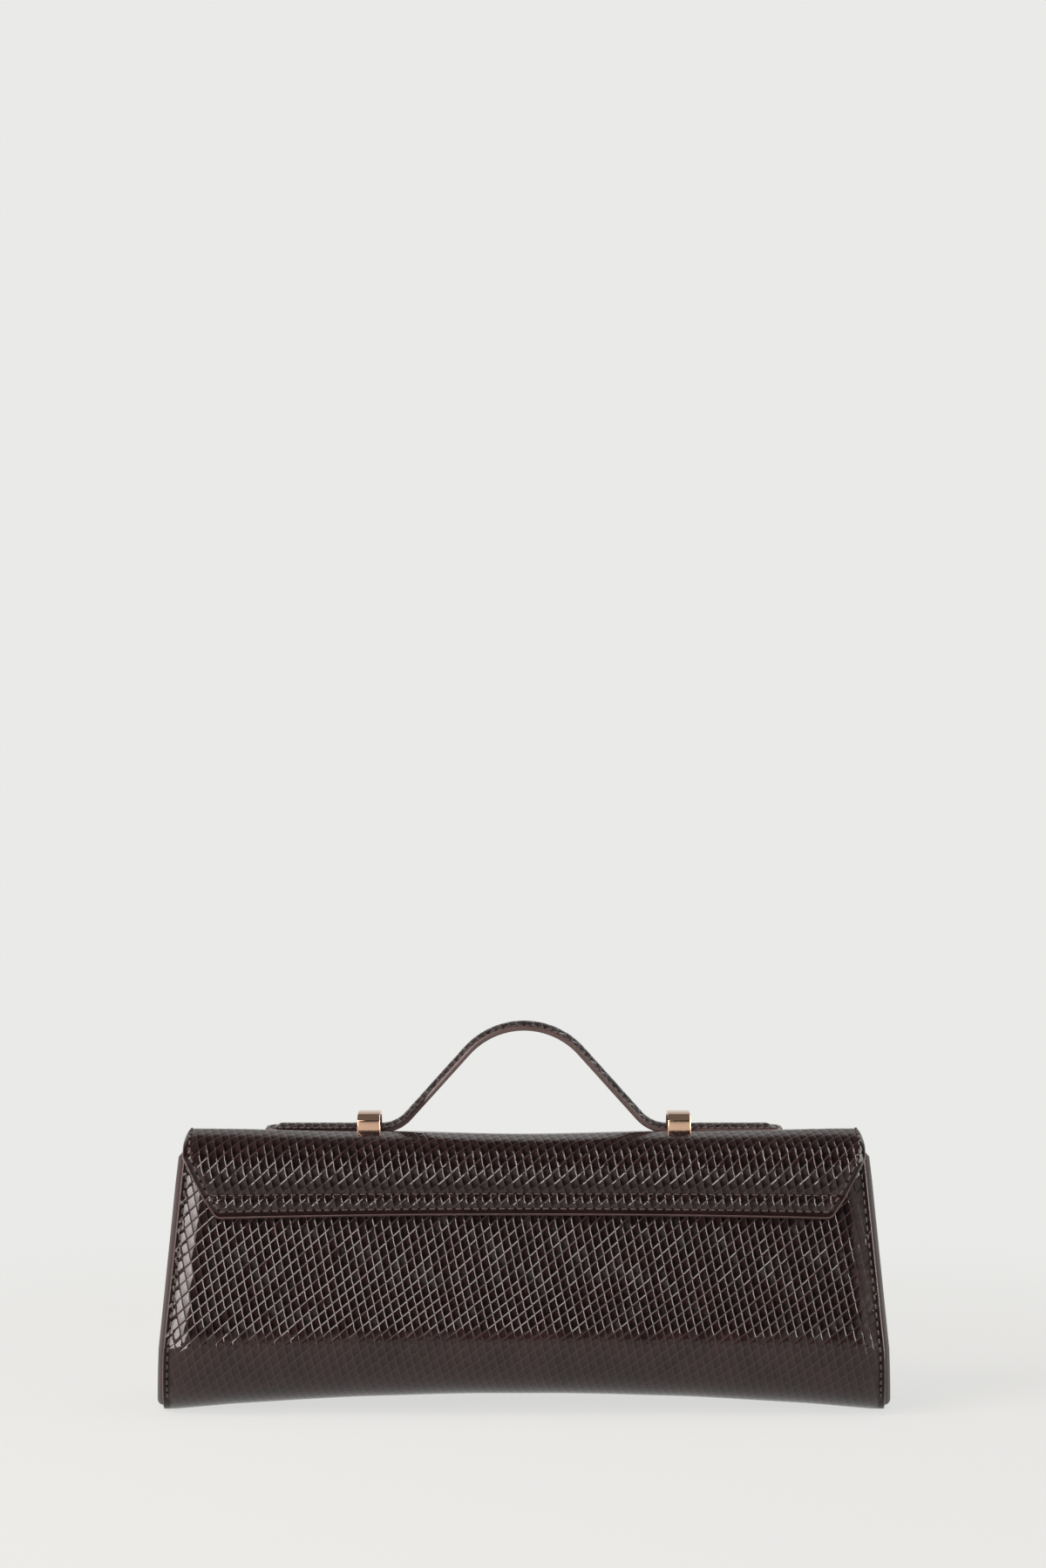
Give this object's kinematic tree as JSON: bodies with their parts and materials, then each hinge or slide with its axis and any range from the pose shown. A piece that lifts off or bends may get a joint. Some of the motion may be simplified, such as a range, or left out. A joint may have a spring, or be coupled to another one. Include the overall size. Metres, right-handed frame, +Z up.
{
  "type": "handbag",
  "caption": "Structured top-handle handbag with a fold-over flap, a strap handle sliding in metal loops, bulging gussets and a lined interior with a slip pocket.",
  "frame": {"origin": "on the table under the middle of the bag, half way between front and back", "axes": "+X to the right along the bag's width, -Y to the front, +Z up"},
  "size_m": [0.307, 0.0738, 0.1607],
  "materials": {
    "embossed_leather": "glossy dark brown calf leather embossed with a traditional lozenge scale",
    "smooth_leather": "smooth dark brown calf leather, satin",
    "lining_cloth": "brushed microfibre lining",
    "board": "bonded leather board, raw",
    "foam": "thin felt and foam wadding",
    "tape": "woven reinforcement tape",
    "gold_metal": "polished pale rose gold plating",
    "steel": "plain zinc-plated steel"
  },
  "bodies": {
    "bag_body": {"body_wrap": "embossed_leather", "front_board": "board", "back_board": "board", "base_board": "board", "front_foam": "foam", "back_foam": "foam", "body_lining": "lining_cloth", "front_facing": "smooth_leather", "back_facing": "smooth_leather", "left_gusset": "smooth_leather", "right_gusset": "smooth_leather", "left_gusset_lining": "lining_cloth", "right_gusset_lining": "lining_cloth", "left_seam_tape": "tape", "right_seam_tape": "tape", "slip_pocket": "lining_cloth", "body_magnets": "steel", "flap_back_leather": "embossed_leather", "flap_back_board": "board", "flap_back_lining": "lining_cloth"},
    "flap": {"flap_top_leather": "embossed_leather", "flap_top_board": "board", "flap_top_lining": "lining_cloth", "left_loop": "gold_metal", "right_loop": "gold_metal", "left_loop_plate": "steel", "right_loop_plate": "steel", "loop_screws": "steel"},
    "flap_leaf": {"flap_front_leather": "embossed_leather", "flap_front_board": "board", "flap_front_lining": "lining_cloth", "flap_magnets": "steel"},
    "left_tail": {"left_tail_cover": "embossed_leather", "left_tail_core": "foam", "left_tail_backing": "smooth_leather"},
    "left_leg": {"left_leg_cover": "embossed_leather", "left_leg_core": "foam", "left_leg_backing": "smooth_leather"},
    "crown": {"crown_cover": "embossed_leather", "crown_core": "foam", "crown_backing": "smooth_leather"},
    "right_leg": {"right_leg_cover": "embossed_leather", "right_leg_core": "foam", "right_leg_backing": "smooth_leather"},
    "right_tail": {"right_tail_cover": "embossed_leather", "right_tail_core": "foam", "right_tail_backing": "smooth_leather"}
  },
  "joints": [
    {"name": "flap_hinge", "type": "hinge", "parent": "bag_body", "child": "flap", "pos_m": [0, 0.032, 0.1005], "axis": [-1, 0, 0], "range_deg": [0, 110]},
    {"name": "leaf_fold", "type": "hinge", "parent": "flap", "child": "flap_leaf", "pos_m": [0, -0.032, 0.1005], "axis": [-1, 0, 0], "range_deg": [0, 65], "stiffness_Nm_per_rad": 0.02, "springref_deg": -11.46},
    {"name": "tail_slide", "type": "slide", "parent": "flap", "child": "left_tail", "axis": [-1, 0, 0], "range_m": [0, 0.01621], "stiffness_N_per_m": 20, "springref_m": -0.01},
    {"name": "left_leg_fold", "type": "hinge", "parent": "left_tail", "child": "left_leg", "pos_m": [-0.05465, 0, 0.1155], "axis": [0, 1, 0], "range_deg": [0, 36]},
    {"name": "left_crown_fold", "type": "hinge", "parent": "left_leg", "child": "crown", "pos_m": [-0.01921, 0, 0.15459], "axis": [0, -1, 0], "range_deg": [0, 36]},
    {"name": "right_crown_fold", "type": "hinge", "parent": "crown", "child": "right_leg", "pos_m": [0.01921, 0, 0.15459], "axis": [0, -1, 0], "range_deg": [0, 36]},
    {"name": "right_leg_fold", "type": "hinge", "parent": "right_leg", "child": "right_tail", "pos_m": [0.05465, 0, 0.1155], "axis": [0, 1, 0], "range_deg": [0, 36]}
  ],
  "couplings": [
    {"joint": "left_leg_fold", "follows": "tail_slide", "rad_per_m": 38.761},
    {"joint": "left_crown_fold", "follows": "tail_slide", "rad_per_m": 38.761},
    {"joint": "right_crown_fold", "follows": "tail_slide", "rad_per_m": 38.761},
    {"joint": "right_leg_fold", "follows": "tail_slide", "rad_per_m": 38.761}
  ]
}
